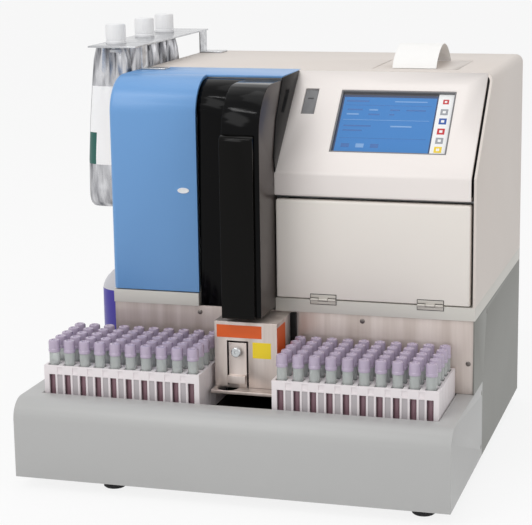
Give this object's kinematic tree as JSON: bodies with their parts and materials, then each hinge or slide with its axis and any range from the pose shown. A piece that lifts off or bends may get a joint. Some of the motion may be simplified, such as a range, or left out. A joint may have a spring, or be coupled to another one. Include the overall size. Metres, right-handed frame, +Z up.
{
  "type": "glycohemoglobin analyzer",
  "caption": "Bench-top glycohemoglobin analyzer: front rack loader with stoppered tubes, needle column, blue door, sloped touch panel, printer, hanging reagent pouches.",
  "frame": {"origin": "on the bench, under the middle of the footprint", "axes": "+X to the operator's right, -Y towards the operator, +Z up"},
  "size_m": [0.53, 0.515, 0.538],
  "materials": {
    "loader_plastic": "satin moulded plastic, light grey",
    "stainless_sheet": "brushed",
    "grey_sheet": "fine textured paint, mid grey",
    "frame_steel": "zinc plated sheet, closed",
    "lip_paint": "satin paint, pale grey",
    "beige_cover": "fine textured moulding, pale beige",
    "panel_white": "satin moulding, warm white",
    "door_beige": "fine textured moulding, pale beige",
    "blue_cover": "semi-gloss moulding, sky blue",
    "black_cover": "polished black",
    "smoked_cover": "polished smoked plastic",
    "dark_metal": "dark satin",
    "bright_metal": "bright metal",
    "aluminium_block": "satin",
    "rack_plastic": "moulded, off-white",
    "clear_tube": "clear plastic with dark contents",
    "stopper_plastic": "moulded, pale lavender",
    "bezel_grey": "satin, mid grey",
    "screen_glass": "smooth, lit blue",
    "paper": "thermal paper, white",
    "pouch_foil": "laminated foil, silver with printed fields",
    "white_plastic": "moulded, white",
    "black_plastic": "satin black",
    "foot_rubber": "black rubber"
  },
  "bodies": {
    "analyzer": {"analytical_column": "bright_metal", "bay_back_plate": "stainless_sheet", "bay_frame": "frame_steel", "bottle_cap": "white_plastic", "bottle_shelf": "stainless_sheet", "card_slot": "bezel_grey", "column_cover": "black_cover", "column_front_cover": "smoked_cover", "column_oven": "aluminium_block", "column_side_cover": "black_cover", "cover_screws": "stainless_sheet", "feet": "foot_rubber", "hatch_thumbscrew": "stainless_sheet", "hinge_leaves_shelf": "bright_metal", "inner_frame": "frame_steel", "instrument_shelf": "lip_paint", "lane_lining": "black_plastic", "loader_base": "loader_plastic", "lower_chassis": "frame_steel", "operator_panel": "panel_white", "paper_roll": "paper", "pouch_bracket": "aluminium_block", "pouch_caps": "white_plastic", "power_module": "black_plastic", "pump_unit": "bright_metal", "rack_floor": "stainless_sheet", "rack_left_1": "rack_plastic", "rack_left_2": "rack_plastic", "rack_left_3": "rack_plastic", "rack_left_4": "rack_plastic", "rack_left_5": "rack_plastic", "rack_right_1": "rack_plastic", "rack_right_2": "rack_plastic", "rack_right_3": "rack_plastic", "rack_right_4": "rack_plastic", "rack_right_5": "rack_plastic", "reagent_pouch_1": "pouch_foil", "reagent_pouch_2": "pouch_foil", "reagent_pouch_3": "pouch_foil", "rear_panel": "grey_sheet", "sample_tubes": "clear_tube", "sampler_mast": "dark_metal", "sampling_station": "stainless_sheet", "screen_bezel": "bezel_grey", "side_panels": "grey_sheet", "station_hatch": "stainless_sheet", "top_cover": "blue_cover", "touch_screen": "screen_glass", "tube_port_plate": "dark_metal", "tube_stoppers": "stopper_plastic", "upper_housing": "beige_cover", "wash_bottle": "white_plastic"},
    "lower_door": {"lower_door": "door_beige", "hinge_leaves_door": "bright_metal"},
    "left_door": {"left_door": "blue_cover"},
    "printer_lid": {"printer_lid": "door_beige", "paper_strip": "paper"},
    "needle_carriage": {"needle_carriage": "aluminium_block", "sampling_needle": "bright_metal"},
    "power_rocker": {"power_rocker": "black_plastic"}
  },
  "joints": [
    {"name": "lower_door_hinge", "type": "hinge", "parent": "analyzer", "child": "lower_door", "pos_m": [0.13975, -0.1091, 0.21775], "axis": [1, 0, 0], "range_deg": [0, 90]},
    {"name": "left_door_hinge", "type": "hinge", "parent": "analyzer", "child": "left_door", "pos_m": [-0.188, -0.0975, 0.25], "axis": [0, 0, -1], "range_deg": [0, 110]},
    {"name": "printer_lid_hinge", "type": "hinge", "parent": "analyzer", "child": "printer_lid", "pos_m": [0.161, 0.1566, 0.482], "axis": [-1, 0, 0], "range_deg": [0, 80]},
    {"name": "needle_slide", "type": "slide", "parent": "analyzer", "child": "needle_carriage", "axis": [0, 0, -1], "range_m": [0, 0.085]},
    {"name": "power_switch", "type": "hinge", "parent": "analyzer", "child": "power_rocker", "pos_m": [0.219, 0.25431, 0.0608], "axis": [-1, 0, 0], "range_deg": [0, 16]}
  ]
}
